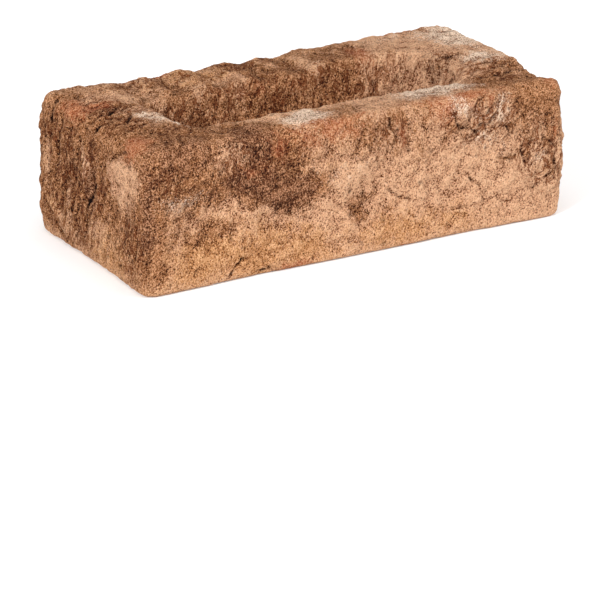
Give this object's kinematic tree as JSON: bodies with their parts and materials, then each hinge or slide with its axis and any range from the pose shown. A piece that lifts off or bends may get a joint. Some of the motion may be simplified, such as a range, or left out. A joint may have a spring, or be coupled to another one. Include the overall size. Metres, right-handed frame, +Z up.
{
  "type": "clay brick",
  "caption": "Hand-moulded fired clay facing brick with a drafted frog in its upper face, bellied sides, soft arrises and finger flutes, laid flat on its bed.",
  "frame": {"origin": "middle of the bed, the lower face that the brick rests on", "axes": "+X along the stretchers, +Y from the front stretcher to the back one, +Z up through the frog"},
  "size_m": [0.215, 0.1026, 0.065],
  "materials": {
    "fired_clay": "sand-faced, unglazed and matt, buff with dark umber stains and orange where the sand is worn off"
  },
  "bodies": {
    "root": {"brick": "fired_clay"}
  },
  "joints": []
}
